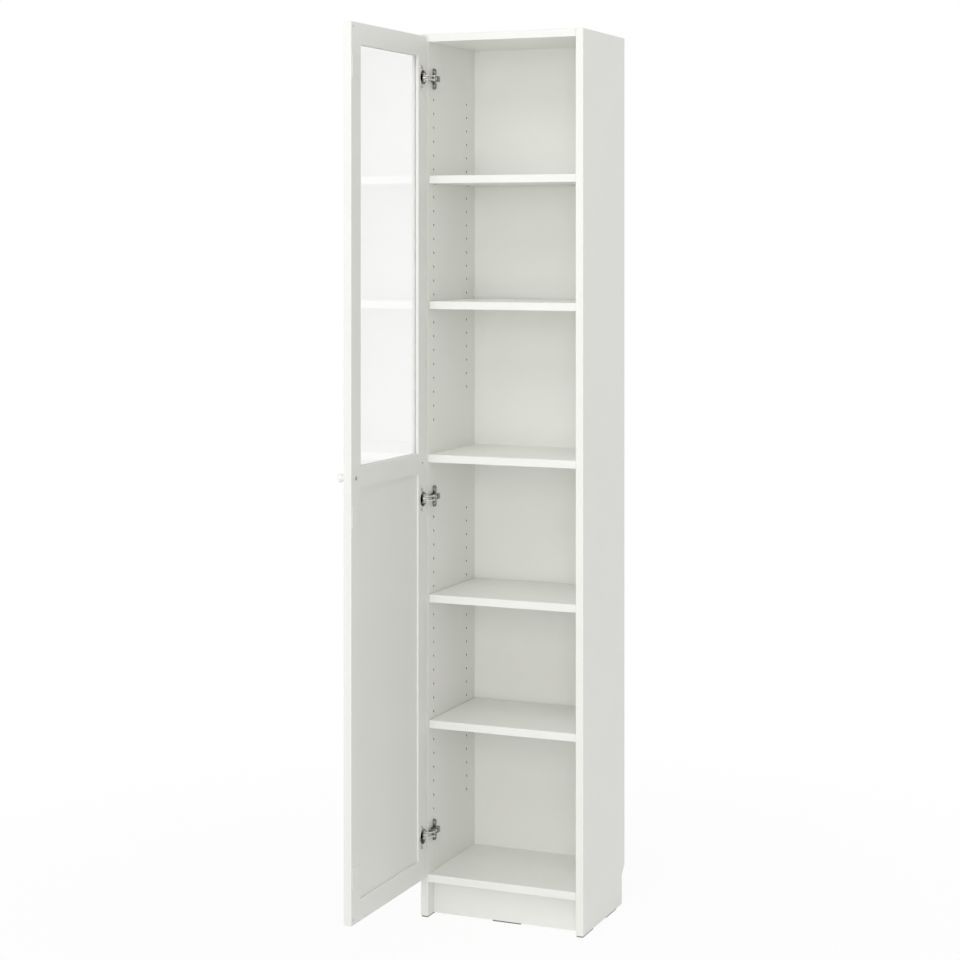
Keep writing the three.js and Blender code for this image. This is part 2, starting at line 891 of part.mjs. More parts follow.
// The grooves round both openings, cut from stiles and rails alike
function doorGrooves() {
  const left = frameWidth - frameGrooveDepth;
  const right = doorWidth - left;
  return [
    paneGroove(
      glassFace,
      glassThickness,
      left,
      right,
      midRailTop - frameGrooveDepth,
      topRailBottom + frameGrooveDepth,
    ),
    paneGroove(
      panelFace,
      panelThickness,
      left,
      right,
      bottomRailTop - frameGrooveDepth,
      midRailBottom + frameGrooveDepth,
    ),
  ];
}

function stile(edge, hand) {
  const far = edge + hand * frameWidth;
  const eased = edge + hand * edgeEase;
  const outline = [
    [eased, 0],
    [edge, -edgeEase],
    [edge, -doorThickness + edgeEase],
    [eased, -doorThickness],
    [far, -doorThickness],
    [far, 0],
  ];
  return extruded('z', outline, doorBottom, doorTop);
}

function cupBores(x, wingX) {
  const bores = [];
  forEachHinge((word, height) => {
    bores.push(disc('y', height, x, cupDiameter / 2, -cupDepth, cutOverrun, cupFacets));
    for (const side of [-1, 1]) {
      const z = height + (side * cupScrewSpacing) / 2;
      bores.push(disc('y', z, wingX, cupPilotDiameter / 2, -cupDepth, cutOverrun, holeFacets));
    }
  });
  return bores;
}

function knobHole(x) {
  return disc('y', knobHeight, x, knobHoleDiameter / 2, -doorThickness - cutOverrun, cutOverrun, holeFacets);
}

function pilotHole(x) {
  return disc('y', knobHeight, x, knobHoleDiameter / 2, -pilotHoleDepth, cutOverrun, holeFacets);
}

function addDoorFrame(door) {
  const wingInset = cupInset + cupScrewOffset;
  addPiece(
    door,
    'door_hinge_stile',
    cutFrom(stile(0, 1), [...doorGrooves(), ...cupBores(cupInset, wingInset), pilotHole(knobInset)]),
    whiteFoil,
  );
  addPiece(
    door,
    'door_free_stile',
    cutFrom(stile(doorWidth, -1), [
      ...doorGrooves(),
      ...cupBores(doorWidth - cupInset, doorWidth - wingInset),
      knobHole(doorWidth - knobInset),
    ]),
    whiteFoil,
  );
  const rails = [
    ['door_top_rail', topRailBottom],
    ['door_middle_rail', midRailBottom],
    ['door_bottom_rail', doorBottom],
  ];
  const railStart = frameWidth + frameGap;
  for (const [name, under] of rails) {
    const rail = box(railStart, doorWidth - railStart, -doorThickness, 0, under, under + frameWidth);
    addPiece(door, name, cutFrom(rail, doorGrooves()), whiteFoil);
  }
}

function addPanes(door) {
  const edge = frameWidth - frameGrooveDepth + paneEdgeClearance;
  const lap = frameGrooveDepth - paneEdgeClearance;
  addPiece(
    door,
    'door_glass',
    box(
      edge,
      doorWidth - edge,
      glassFace - glassThickness,
      glassFace,
      midRailTop - lap,
      topRailBottom + lap,
    ),
    clearGlass,
  );
  addPiece(
    door,
    'door_lower_panel',
    box(
      edge,
      doorWidth - edge,
      panelFace - panelThickness,
      panelFace,
      bottomRailTop - lap,
      midRailBottom + lap,
    ),
    whiteFoil,
  );
}

// Half section of the knob: radius, then distance from the door's outer face
function knobSection() {
  const neck = knobNeckDiameter / 2;
  const rim = knobDiameter / 2;
  const flare = new THREE.SplineCurve([
    new THREE.Vector2(knobFootDiameter / 2, 0),
    new THREE.Vector2(neck, knobProjection * knobNeckShare),
    new THREE.Vector2(rim, knobProjection * knobRimShare),
    new THREE.Vector2(rim * knobCrownWidthShare, knobProjection * knobCrownShare),
  ]);
  return [new THREE.Vector2(0, 0), ...flare.getPoints(knobRings), new THREE.Vector2(0, knobProjection)];
}

function addKnob(door) {
  const knob = new THREE.LatheGeometry(knobSection(), knobFacets);
  knob.rotateX(Math.PI);
  const boreRadius = holeRadius(screwDiameter / 2, screwClearance, holeFacets);
  const bore = disc('y', 0, 0, boreRadius, -knobBoreDepth, cutOverrun, holeFacets);
  const body = solid(knob).subtract(solid(bore));
  const place = new THREE.Vector3(doorWidth - knobInset, -doorThickness - jointGap, knobHeight);
  addPiece(door, 'door_knob', body, whiteLacquer).position.copy(place);
  const screwLength = doorThickness + knobBoreDepth - screwTipClearance;
  const screw = joined([
    disc('y', 0, 0, screwDiameter / 2, -screwLength, screwHeadThickness / 2, pinFacets),
    disc('y', 0, 0, screwHeadDiameter / 2, jointGap, screwHeadThickness, pinFacets),
  ]);
  addPiece(door, 'door_knob_screw', screw, nickelSteel)
    .position.set(doorWidth - knobInset, 0, knobHeight);
}

// Covers for the cup bores that the free stile doesn't use
function addCupCovers(door) {
  const lid = roundedRectangle(
    -coverHeight / 2,
    coverHeight / 2,
    -coverWidth / 2,
    coverWidth / 2,
    cupCorner,
  );
  const cover = joined([
    extruded('y', lid, jointGap, jointGap + coverThickness),
    disc('y', 0, 0, cupDiameter / 2 - cupClearance, -coverPlugDepth, coverThickness / 2, cupFacets),
  ]);
  const shape = geometryOf(cover);
  forEachHinge((word, height) => {
    addPiece(door, `cup_cover_${word}`, shape, palePlastic)
      .position.set(doorWidth - cupInset, 0, height);
  });
}

function addDoor() {
  const door = new THREE.Group();
  const edge = openDoorEdge();
  door.position.set(edge.x - innerHalfWidth, edge.y + frontY, 0);
  door.rotation.z = -openTurn;
  addDoorFrame(door);
  addPanes(door);
  addKnob(door);
  addCupCovers(door);
  const cup = geometryOf(hingeCup());
  forEachHinge((word, height) => {
    addPiece(door, `hinge_cup_${word}`, cup, nickelSteel).position.set(0, 0, height);
  });
  bookcase.add(door);
}

addSide('side_left', -1);
addSide('side_right', 1);
addCarcassBoards();
addBackPanel();
addGlides();
addShelvesAndPins();
addHinges();
addDoor();

export default bookcase;
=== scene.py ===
import math

import bmesh
import bpy
from mathutils import Matrix, Vector


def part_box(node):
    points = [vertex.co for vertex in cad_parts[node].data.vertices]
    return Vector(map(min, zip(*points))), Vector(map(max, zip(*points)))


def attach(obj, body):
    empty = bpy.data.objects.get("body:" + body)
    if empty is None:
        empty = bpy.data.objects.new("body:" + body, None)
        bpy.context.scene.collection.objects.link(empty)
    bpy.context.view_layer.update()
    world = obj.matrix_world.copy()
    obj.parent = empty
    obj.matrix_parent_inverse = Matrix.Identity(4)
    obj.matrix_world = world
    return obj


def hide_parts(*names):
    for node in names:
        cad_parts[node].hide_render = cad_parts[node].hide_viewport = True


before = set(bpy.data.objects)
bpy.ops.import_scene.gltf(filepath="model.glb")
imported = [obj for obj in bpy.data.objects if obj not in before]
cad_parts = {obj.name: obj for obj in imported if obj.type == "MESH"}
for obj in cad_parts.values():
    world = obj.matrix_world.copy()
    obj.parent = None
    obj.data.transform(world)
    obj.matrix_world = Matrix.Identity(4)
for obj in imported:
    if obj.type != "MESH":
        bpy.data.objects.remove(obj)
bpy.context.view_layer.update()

MM = 0.001
ALONG_X = (0, math.radians(90), 0)
ALONG_Y = (math.radians(90), 0, 0)


# Places on the bookcase that several pieces share

def middle(node):
    low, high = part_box(node)
    return [(a + b) / 2 for a, b in zip(low, high)]


HINGES = ("top", "middle", "bottom")
HINGE_HEIGHTS = [middle(f"hinge_cup_{hinge}")[2] for hinge in HINGES]
LEFT_FACE = -180 * MM
DOOR_INNER_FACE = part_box("door_hinge_stile")[1][0]
DOOR_HINGE_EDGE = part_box("door_hinge_stile")[1][1]
KNOB_INSET = 22 * MM
CUP_CENTRE_Y = DOOR_HINGE_EDGE - 22 * MM
CUP_SCREW_Y = CUP_CENTRE_Y - 9.5 * MM
CUP_SCREW_REACH = 22.5 * MM
PLATE_SCREW_Y = -9 * MM
PLATE_SCREW_REACH = 16 * MM
ARM_TOP = -169 * MM
FIXING_SCREW_Y = -16.5 * MM
OVERLAY_SCREW_Y = -33 * MM


# Camera, at the place from which the bookcase is seen in two-point perspective

def add_camera():
    data = bpy.data.cameras.new("camera")
    data.lens = 81.5
    data.sensor_width = 36
    data.shift_y = -0.252
    camera = bpy.data.objects.new("camera", data)
    camera.location = (1.8633, -4.5808, 1.5557)
    camera.rotation_euler = (math.radians(90), 0, math.radians(22.863))
    bpy.context.scene.collection.objects.link(camera)
    bpy.context.scene.camera = camera


add_camera()


# Shader tools

class Wire:
    """One output of a shader node. Sums and products on it add their Math nodes."""

    def __init__(self, socket):
        self.socket = socket

    def _math(self, operation, first, second):
        shader = Shader(self.socket.id_data)
        return shader.node("ShaderNodeMath", {"operation": operation}, {0: first, 1: second})

    def __add__(self, other):
        return self._math("ADD", self, other)

    def __sub__(self, other):
        return self._math("SUBTRACT", self, other)

    def __mul__(self, other):
        return self._math("MULTIPLY", self, other)

    def __pow__(self, other):
        return self._math("POWER", self, other)

    def __gt__(self, other):
        return self._math("GREATER_THAN", self, other)

    def __lt__(self, other):
        return self._math("LESS_THAN", self, other)

    def __abs__(self):
        return self._math("ABSOLUTE", self, 0)

    __radd__ = __add__
    __rmul__ = __mul__

    def __rsub__(self, other):
        return self._math("SUBTRACT", other, self)


class Shader:
    """The nodes of one material."""

    def __init__(self, tree):
        self.tree = tree

    def node(self, kind, settings, inputs, output=0):
        made = self.tree.nodes.new(kind)
        for name, value in settings.items():
            setattr(made, name, value)
        for name, value in inputs.items():
            self.set(made.inputs[name], value)
        return Wire(made.outputs[output])

    def set(self, socket, value):
        if isinstance(value, Wire):
            self.tree.links.new(value.socket, socket)
        elif isinstance(value, tuple) and len(value) == 3 and socket.type == "RGBA":
            socket.default_value = (*value, 1)
        else:
            socket.default_value = value

    def place(self, scale=(1, 1, 1)):
        """Object coordinates, stretched by a scale on each axis."""
        coordinates = self.node("ShaderNodeTexCoord", {}, {}, "Object")
        return self.node("ShaderNodeMapping", {}, {"Vector": coordinates, "Scale": scale})

    def axes(self):
        """The three object coordinates, each by itself."""
        coordinates = self.node("ShaderNodeTexCoord", {}, {}, "Object")
        return [self.node("ShaderNodeSeparateXYZ", {}, {0: coordinates}, axis) for axis in range(3)]

    def noise(self, vector, scale, detail=3, roughness=0.5):
        inputs = {"Vector": vector, "Scale": scale, "Detail": detail, "Roughness": roughness}
        return self.node("ShaderNodeTexNoise", {}, inputs, "Fac")

    def blend(self, factor, first, second):
        """A colour between two, by a factor."""
        settings = {"data_type": "RGBA"}
        return self.node("ShaderNodeMix", settings, {0: factor, 6: first, 7: second}, 2)

    def bump(self, height, strength, distance):
        inputs = {"Height": height, "Strength": strength, "Distance": distance}
        return self.node("ShaderNodeBump", {}, inputs, "Normal")


def new_material(name):
    material = bpy.data.materials.new(name)
    material.use_nodes = True
    tree = material.node_tree
    return material, Shader(tree), tree.nodes["Principled BSDF"].inputs


# Finishes

def foil(name, colour, roughness=0.4, opened=None):
    """Matt foil on board, faintly pored and cloudy, and raw chipboard at places that opened finds."""
    material, shader, surface = new_material(name)
    place = shader.place()
    cloud = shader.noise(place, 6, 2)
    pore = shader.noise(place, 1400, 2, 0.6)
    speck = shader.noise(place, 320, 4, 0.55)
    shade = tuple(share * 0.965 for share in colour)
    tone = shader.blend(cloud, shade, colour)
    dullness = roughness - 0.04 + speck * 0.08
    relief = pore * 0.7 + speck * 0.3
    if opened:
        inside = opened(*shader.axes())
        chips = shader.noise(place, 900, 3, 0.7)
        board = shader.blend(chips, (0.16, 0.1, 0.05), (0.42, 0.29, 0.17))
        tone = shader.blend(inside, tone, board)
        dullness = dullness + inside * 0.4
        relief = relief + chips * inside
    shader.set(surface["Base Color"], tone)
    shader.set(surface["Roughness"], dullness)
    shader.set(surface["Normal"], shader.bump(relief, 0.12, 0.0002))
    surface["Specular IOR Level"].default_value = 0.4
    return material


def inside_side(x, y, z):
    """Whether a place lies in the holes and grooves of a side, within its outer faces."""
    (inner, front, foot), (outer, rear, top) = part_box("side_right")
    skin, edge_skin, hole_skin = 0.5 * MM, 1 * MM, 0.4 * MM
    recess_front, recess_top = rear - 20.5 * MM, foot + 97 * MM
    across = abs(x)
    between = (across > inner + hole_skin) * (across < outer - skin)
    inside = between * (y > front + edge_skin) * (y < rear - skin) * (z < top - edge_skin)
    return inside * ((z > recess_top) + (y < recess_front) * (z > foot + skin) > 0.5)


def inside_spare_hole(x, y, z):
    """Whether a place lies in the hinge stile's spare hole, which the knob would take."""
    radius, skin = 3 * MM, 0.3 * MM
    across = y - (DOOR_HINGE_EDGE - KNOB_INSET)
    along = z - middle("door_knob")[2]
    return (across * across + along * along < radius ** 2) * (x < DOOR_INNER_FACE - skin)


def white_lacquer():
    """Sprayed satin lacquer on the knob, with a soft orange peel."""
    material, shader, surface = new_material("knob_lacquer")
    peel = shader.noise(shader.place(), 420, 3, 0.5)
    cloud = shader.noise(shader.place(), 40, 2)
    shader.set(surface["Base Color"], shader.blend(cloud, (0.91, 0.91, 0.89), (0.94, 0.94, 0.92)))
    shader.set(surface["Roughness"], 0.24 + peel * 0.08)
    shader.set(surface["Normal"], shader.bump(peel, 0.1, 0.0002))
    surface["Coat Roughness"].default_value = 0.2
    surface["Coat Weight"].default_value = 0.25
    return material


def clear_glass():
    """Float glass, a little green in its depth, that lets the lamps' light through."""
    material, shader, surface = new_material("pane_glass")
    smear = shader.noise(shader.place((1, 1, 0.5)), 9, 3, 0.6)
    shader.set(surface["Base Color"], shader.blend(smear, (0.985, 0.995, 0.99), (0.995, 1.0, 0.997)))
    shader.set(surface["Roughness"], 0.0 + smear * 0.02)
    surface["Transmission Weight"].default_value = 1
    surface["Specular IOR Level"].default_value = 0.15
    surface["IOR"].default_value = 1.5
    tree = material.node_tree
    shadow = Wire(tree.nodes.new("ShaderNodeLightPath").outputs["Is Shadow Ray"])
    clear = shader.node("ShaderNodeBsdfTransparent", {}, {"Color": (0.95, 0.97, 0.96)})
    glass = Wire(tree.nodes["Principled BSDF"].outputs[0])
    mixed = shader.node("ShaderNodeMixShader", {}, {0: shadow, 1: glass, 2: clear})
    shader.set(tree.nodes["Material Output"].inputs["Surface"], mixed)
    return material


def nickel_steel(name, dark, light):
    """Pressed steel with a warm nickel plating, fine rolling lines and dulled patches."""
    material, shader, surface = new_material(name)
    lines = shader.noise(shader.place((1, 1, 14)), 260, 3, 0.6)
    patch = shader.noise(shader.place(), 90, 3, 0.6)
    tones = [(tone, tone * 0.985, tone * 0.94) for tone in (dark, light)]
    shader.set(surface["Base Color"], shader.blend(patch, *tones))
    shader.set(surface["Roughness"], 0.2 + patch * 0.16 + lines * 0.06)
    shader.set(surface["Normal"], shader.bump(lines, 0.16, 0.0001))
    surface["Metallic"].default_value = 1
    return material


def moulded_plastic(name, colour, roughness=0.55, pore_scale=900, depth=0.2):
    """Injection-moulded plastic with a spark-eroded texture."""
    material, shader, surface = new_material(name)
    pore = shader.noise(shader.place(), pore_scale, 3, 0.6)
    cloud = shader.noise(shader.place(), 30, 2)
    shade = tuple(share * 0.9 for share in colour)
    shader.set(surface["Base Color"], shader.blend(cloud, shade, colour))
    shader.set(surface["Roughness"], roughness - 0.06 + pore * 0.12)
    shader.set(surface["Normal"], shader.bump(pore, depth, 0.0003))
    return material


WHITE = (0.905, 0.908, 0.868)
DOOR_WHITE = (0.875, 0.88, 0.842)
FINISHES = {
    "board": foil("board_foil", WHITE),
    "side": foil("side_foil", WHITE, opened=inside_side),
    "back": foil("back_foil", WHITE, 0.46),
    "door": foil("door_foil", DOOR_WHITE, 0.38),
    "stile": foil("stile_foil", DOOR_WHITE, 0.38, inside_spare_hole),
    "knob": white_lacquer(),
    "glass": clear_glass(),
    "nickel": nickel_steel("nickel_steel", 0.45, 0.8),
    "plate_nickel": nickel_steel("plate_nickel", 0.2, 0.46),
    # A very dark copy of the nickel: painted shade on the overlay screws in the arm's slot
    "painted_shade_nickel": nickel_steel("painted_shade_nickel", 0.03, 0.2),
    "screw_steel": nickel_steel("screw_steel", 0.3, 0.65),
    # A brighter copy of the nickel: a painted highlight on the cups and the fixing screws
    "painted_highlight_steel": nickel_steel("painted_highlight_steel", 0.6, 0.85),
    # A near-black copy of the nickel: painted shade for the cup's hollow, the screw recesses, the arm's
    # slots, the plates' edges and the ears' sides
    "painted_shade_steel": nickel_steel("painted_shade_steel", 0.01, 0.05),
    "glide": moulded_plastic("glide_plastic", (0.2, 0.2, 0.205)),
    "cover": moulded_plastic("cover_plastic", (0.895, 0.9, 0.862), 0.4, 700, 0.08),
    "strip": moulded_plastic("strip_plastic", (0.85, 0.86, 0.85), 0.5, 500, 0.05),
    "bumper": moulded_plastic("bumper_silicone", (0.7, 0.71, 0.7), 0.25, 200, 0.05),
}

# Each pair is a metal and the near-black painted shade that goes on its hollows, recesses and edges
PLATED = ("plate_nickel", "painted_shade_steel")
SCREW = ("screw_steel", "painted_shade_steel")
PAINTED_HIGHLIGHT_AND_SHADE = ("painted_highlight_steel", "painted_shade_steel")

NODE_FINISHES = (
    ("back_panel", "back"),
    ("door_glass", "glass"),
    ("door_knob_screw", "screw_steel"),
    ("door_knob", "knob"),
    ("door_hinge_stile", "stile"),
    ("door_", "door"),
    ("hinge_", "nickel"),
    ("shelf_pin", "nickel"),
    ("glide_", "glide"),
    ("cup_cover", "cover"),
    ("side_", "side"),
    ("", "board"),
)


def dress(obj, finishes):
    obj.data.materials.clear()
    for finish in finishes:
        obj.data.materials.append(FINISHES[finish])


for node_name, node_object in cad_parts.items():
    node_finish = next(kind for start, kind in NODE_FINISHES if node_name.startswith(start))
    dress(node_object, (node_finish,))


# Tools for modelling by hand

def begin(name, adder, **options):
    """Adds one primitive with nothing else selected, its place and turn kept in its mesh."""
    bpy.ops.object.select_all(action="DESELECT")
    adder(**options)
    piece = bpy.context.object
    piece.name = name
    piece.data.name = name
    bpy.ops.object.transform_apply(location=True, rotation=True, scale=True)
    return piece


def use(piece):
    bpy.ops.object.select_all(action="DESELECT")
    piece.select_set(True)
    bpy.context.view_layer.objects.active = piece


def edit(piece):
    use(piece)
    bpy.ops.object.mode_set(mode="EDIT")


def pick(piece, kind, wanted):
    """Selects, in edit mode, only the faces, edges or points that a test wants."""
    bpy.ops.mesh.select_mode(type=kind)
    bpy.ops.mesh.select_all(action="DESELECT")
    mesh = bmesh.from_edit_mesh(piece.data)
    parts = {"FACE": mesh.faces, "EDGE": mesh.edges, "VERT": mesh.verts}[kind]
    for part in parts:
        if wanted(part):
            part.select_set(True)
    mesh.select_flush_mode()
    bmesh.update_edit_mesh(piece.data)


def finish_edit(piece, smooth=35):
    """Leaves edit mode with all faces turned outward and the curved ones smooth."""
    bpy.ops.mesh.select_all(action="SELECT")
    bpy.ops.mesh.normals_make_consistent(inside=False)
    bpy.ops.object.mode_set(mode="OBJECT")
    smooth_curves(piece, smooth)


def smooth_curves(piece, angle=35):
    use(piece)
    bpy.ops.object.shade_smooth_by_angle(angle=math.radians(angle))


def apply_modifier(piece, kind, **settings):
    use(piece)
    modifier = piece.modifiers.new(kind.lower(), kind)
    for name, value in settings.items():
        setattr(modifier, name, value)
    bpy.ops.object.modifier_apply(modifier=modifier.name)


def cut(piece, *cutters):
    for cutter in cutters:
        apply_modifier(piece, "BOOLEAN", operation="DIFFERENCE", solver="EXACT", object=cutter)
        bpy.data.objects.remove(cutter)
    smooth_curves(piece)


def join(piece, *others):
    bpy.ops.object.select_all(action="DESELECT")
    for other in others:
        other.select_set(True)
    piece.select_set(True)
    bpy.context.view_layer.objects.active = piece
    bpy.ops.object.join()


def draw_out(axis, place, radius, centre, rings):
    """Extrudes the selected end of the piece in edit mode, ring by ring, to each place and radius."""
    for new_place, new_radius in rings:
        step = Vector()
        step[axis] = new_place - place
        bpy.ops.mesh.extrude_region_move(TRANSFORM_OT_translate={"value": step})
        scale = Vector((1, 1, 1)) * (new_radius / radius)
        scale[axis] = 1
        bpy.ops.transform.resize(value=scale, center_override=centre)
        place, radius = new_place, new_radius


def duplicate(piece, name):
    """A copy of a piece with its own mesh."""
    twin = piece.copy()
    twin.data = piece.data.copy()
    twin.name = twin.data.name = name
    bpy.context.scene.collection.objects.link(twin)
    return twin


def repeat(piece, shifts, body, finishes):
    """A copy with its own mesh at each shift, in place of the piece, all riding on one body."""
    for number, shift in enumerate(shifts, 1):
        twin = duplicate(piece, f"{piece.name}_{number}")
        twin.data.transform(Matrix.Translation(shift))
        install(twin, body, finishes)
    bpy.data.objects.remove(piece)


def install(piece, body, finishes, *nodes):
    """Gives a piece its finishes and its body, and the nodes that it takes the place of."""
    dress(piece, finishes)
    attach(piece, body)
    if nodes:
        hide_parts(*nodes)


def hinge_shifts(*sides):
    """Shifts from the middle of the top hinge to places beside the middle of each hinge."""
    return [(0, 0, height - HINGE_HEIGHTS[0] + side) for height in HINGE_HEIGHTS for side in sides]


def mark_painted_shade(piece, wanted):
    """Gives the faces that a test wants the piece's second finish, the near-black painted shade."""
    for face in piece.data.polygons:
        face.material_index = int(wanted(face))


def on_circle(edge, x, y, z, radius):
    """Whether an edge lies on a circle about a line along X, at a given X."""
    for point in edge.verts:
        away = math.hypot(point.co.y - y, point.co.z - z)
        if abs(point.co.x - x) > 0.02 * MM or abs(away - radius) > 0.05 * MM:
            return False
    return True


# Pressed pieces of the hinges, the solids with their edges rounded

def round_edges(node, name, body, width, finishes=("nickel",), *cutters):
    """A copy of a node's solid with its edges rounded, cut first where cutters are given."""
    piece = duplicate(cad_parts[node], name)
    edit(piece)
    bpy.ops.mesh.select_all(action="SELECT")
    bpy.ops.mesh.remove_doubles(threshold=0.002 * MM)
    bpy.ops.mesh.dissolve_limited(angle_limit=math.radians(0.5))
    finish_edit(piece)
    cut(piece, *cutters)
    apply_modifier(piece, "BEVEL", width=width, segments=2, limit_method="ANGLE",
                   angle_limit=math.radians(40))
    smooth_curves(piece, 40)
    install(piece, body, finishes, node)
    return piece


def slot_cutter(x, y, z, length, width, depth):
    """A block with rounded ends that cuts a slot of this depth into a face at X."""
    cutter = begin("slot", bpy.ops.mesh.primitive_cube_add, size=1, location=(x, y, z),
                   scale=(2 * depth, length, width))
    edit(cutter)
    pick(cutter, "EDGE", lambda edge: abs(edge.verts[0].co.x - edge.verts[1].co.x) > depth)
    bpy.ops.mesh.bevel(offset=0.45 * min(length, width), segments=5)
    finish_edit(cutter)
    return cutter


def add_arm(hinge):
    """The arm, cut down to a low channel behind its nose, with slots for its adjusting screws, and painted
    shade on the faces in its slots and nose hole.
    """
    z = middle(f"hinge_arm_{hinge}")[2]
    slots = ((OVERLAY_SCREW_Y, 12 * MM, 6 * MM), (FIXING_SCREW_Y + 1 * MM, 13 * MM, 9.4 * MM))
    slot_depth, margin = 1.5 * MM, 0.05 * MM
    nose_turn = math.radians(-50.1)
    nose_face = Vector((-164.6 * MM, -48.1 * MM, z))
    outward = Vector((math.cos(nose_turn), math.sin(nose_turn), 0))
    room_size = Vector((20, 25.6, 20)) * MM
    room = begin("room", bpy.ops.mesh.primitive_cube_add, size=1, scale=room_size,
                 location=(ARM_TOP + room_size.x / 2, -28 * MM, z))
    cutters = [slot_cutter(ARM_TOP, y, z, length, width, slot_depth) for y, length, width in slots]
    hole = begin("hole", bpy.ops.mesh.primitive_cylinder_add, vertices=32, radius=1.9 * MM, depth=2.4 * MM,
                 location=nose_face, rotation=(0, math.radians(90), nose_turn), scale=(1, 1.35, 1))
    arm = round_edges(f"hinge_arm_{hinge}", f"pressed_arm_{hinge}", "carcass", 0.3 * MM, PLATED,
                      room, *cutters, hole)

    # Faces in the nose hole and in the slots, which get the near-black painted shade
    def in_slot(face):
        from_hole = face.center - nose_face
        if from_hole.length < 2.7 * MM and from_hole.dot(outward) < -0.15 * MM:
            return True
        return any(abs(face.center.y - y) < length / 2 + margin
                   and abs(face.center.z - z) < width / 2 + margin
                   and ARM_TOP - 1.6 * MM < face.center.x < ARM_TOP - 0.15 * MM
                   for y, length, width in slots)

    mark_painted_shade(arm, in_slot)


def add_cup(hinge):
    """The cup in the door, with near-black painted shade on the faces in the depth of its hollow where the
    links come out.
    """
    z = middle(f"hinge_cup_{hinge}")[2]
    depth = DOOR_INNER_FACE - 5.5 * MM
    half = 9 * MM
    hollow_radius = 16.7 * MM
    # The cup's metal is the brighter nickel copy, a painted highlight
    cup = round_edges(f"hinge_cup_{hinge}", f"drawn_cup_{hinge}", "door", 0.3 * MM, PAINTED_HIGHLIGHT_AND_SHADE)
    edit(cup)
    # Cuts the faces so that the painted shade stops at these planes
    for place, normal in (((0, 0, z - half), (0, 0, 1)), ((0, 0, z + half), (0, 0, 1)),
                          ((depth, 0, 0), (1, 0, 0))):
        bpy.ops.mesh.select_all(action="SELECT")
        bpy.ops.mesh.bisect(plane_co=place, plane_no=normal)
    finish_edit(cup)
    # Painted shade on the faces in the depth of the hollow
    mark_painted_shade(cup, lambda face: face.center.x < depth and abs(face.center.z - z) < half
               and math.hypot(face.center.y - CUP_CENTRE_Y, face.center.z - z) < hollow_radius)


def add_plate_ears():
    """Raised rings on the wings of the cross plates, round the screws, with painted shade on their sides
    and sunk middles.
    """
    first = HINGE_HEIGHTS[0]
    x, y = LEFT_FACE + 2.1 * MM, PLATE_SCREW_Y
    radius, height = 8.4 * MM, 1.9 * MM
    ear = begin("plate_ear", bpy.ops.mesh.primitive_cylinder_add, vertices=44, radius=radius, depth=height,
                location=(x + height / 2, y, first), rotation=ALONG_X)
    edit(ear)
    pick(ear, "EDGE", lambda edge: on_circle(edge, x + height, y, first, radius))
    bpy.ops.mesh.bevel(offset=0.5 * MM, segments=3)
    pick(ear, "FACE", lambda face: face.normal.x > 0.99)
    bpy.ops.mesh.inset(thickness=1.7 * MM)
    bpy.ops.mesh.inset(thickness=0.5 * MM)
    bpy.ops.transform.translate(value=(-0.85 * height, 0, 0))
    finish_edit(ear)
    # Painted shade on the rings' sides and on their sunk middles
    mark_painted_shade(ear, lambda face: face.normal.x < 0.75 or face.center.x < x + height / 2)
    repeat(ear, hinge_shifts(-PLATE_SCREW_REACH, PLATE_SCREW_REACH), "carcass", PLATED)


def add_pressed_hinges():
    for hinge in HINGES:
        plate = round_edges(f"hinge_plate_{hinge}", f"cross_plate_{hinge}", "carcass", 0.4 * MM, PLATED)
        # Painted shade on the plate's edges and underside, the faces that do not face +X
        mark_painted_shade(plate, lambda face: face.normal.x < 0.6)
        add_arm(hinge)
        add_cup(hinge)
        round_edges(f"hinge_outer_link_{hinge}", f"long_link_{hinge}", f"outer_link_{hinge}", 0.3 * MM)
        round_edges(f"hinge_inner_link_{hinge}", f"short_link_{hinge}", f"inner_link_{hinge}", 0.3 * MM)


# Screws

def blade(x, y, z, turned, width, length, depth):
    """One blade of a cross recess, narrower towards its bottom."""
    size = (2 * depth, length, width) if turned else (2 * depth, width, length)
    cutter = begin("blade", bpy.ops.mesh.primitive_cube_add, size=1, location=(x, y, z), scale=size)
    edit(cutter)
    pick(cutter, "FACE", lambda face: face.normal.x < -0.9)
    bpy.ops.transform.resize(value=(1, 0.7, 0.7), center_override=(x, y, z))
    finish_edit(cutter)
    return cutter


def pan_screw(name, x, y, z, radius, height):
    """A screw head that faces +X, its rim rounded, with a cross recess in painted shade."""
    head = begin(name, bpy.ops.mesh.primitive_cylinder_add, vertices=40, radius=radius, depth=height,
                 location=(x + height / 2, y, z), rotation=ALONG_X)
    edit(head)
    pick(head, "EDGE", lambda edge: on_circle(edge, x + height, y, z, radius))
    bpy.ops.mesh.bevel(offset=0.5 * height, segments=4)
    pick(head, "FACE", lambda face: face.normal.x > 0.99)
    bpy.ops.mesh.inset(thickness=0.25 * radius)
    bpy.ops.transform.translate(value=(0.06 * height, 0, 0))
    finish_edit(head)
    blades = [blade(x + 1.2 * height, y, z, turned, 0.26 * radius, 1.3 * radius, 0.8 * height)
              for turned in (False, True)]
    cut(head, *blades)
    # Near-black painted shade on the faces in the cross recess
    mark_painted_shade(head, lambda face: face.center.x < x + 0.98 * height and face.normal.x > -0.9
               and math.hypot(face.center.y - y, face.center.z - z) < 0.72 * radius)
    return head


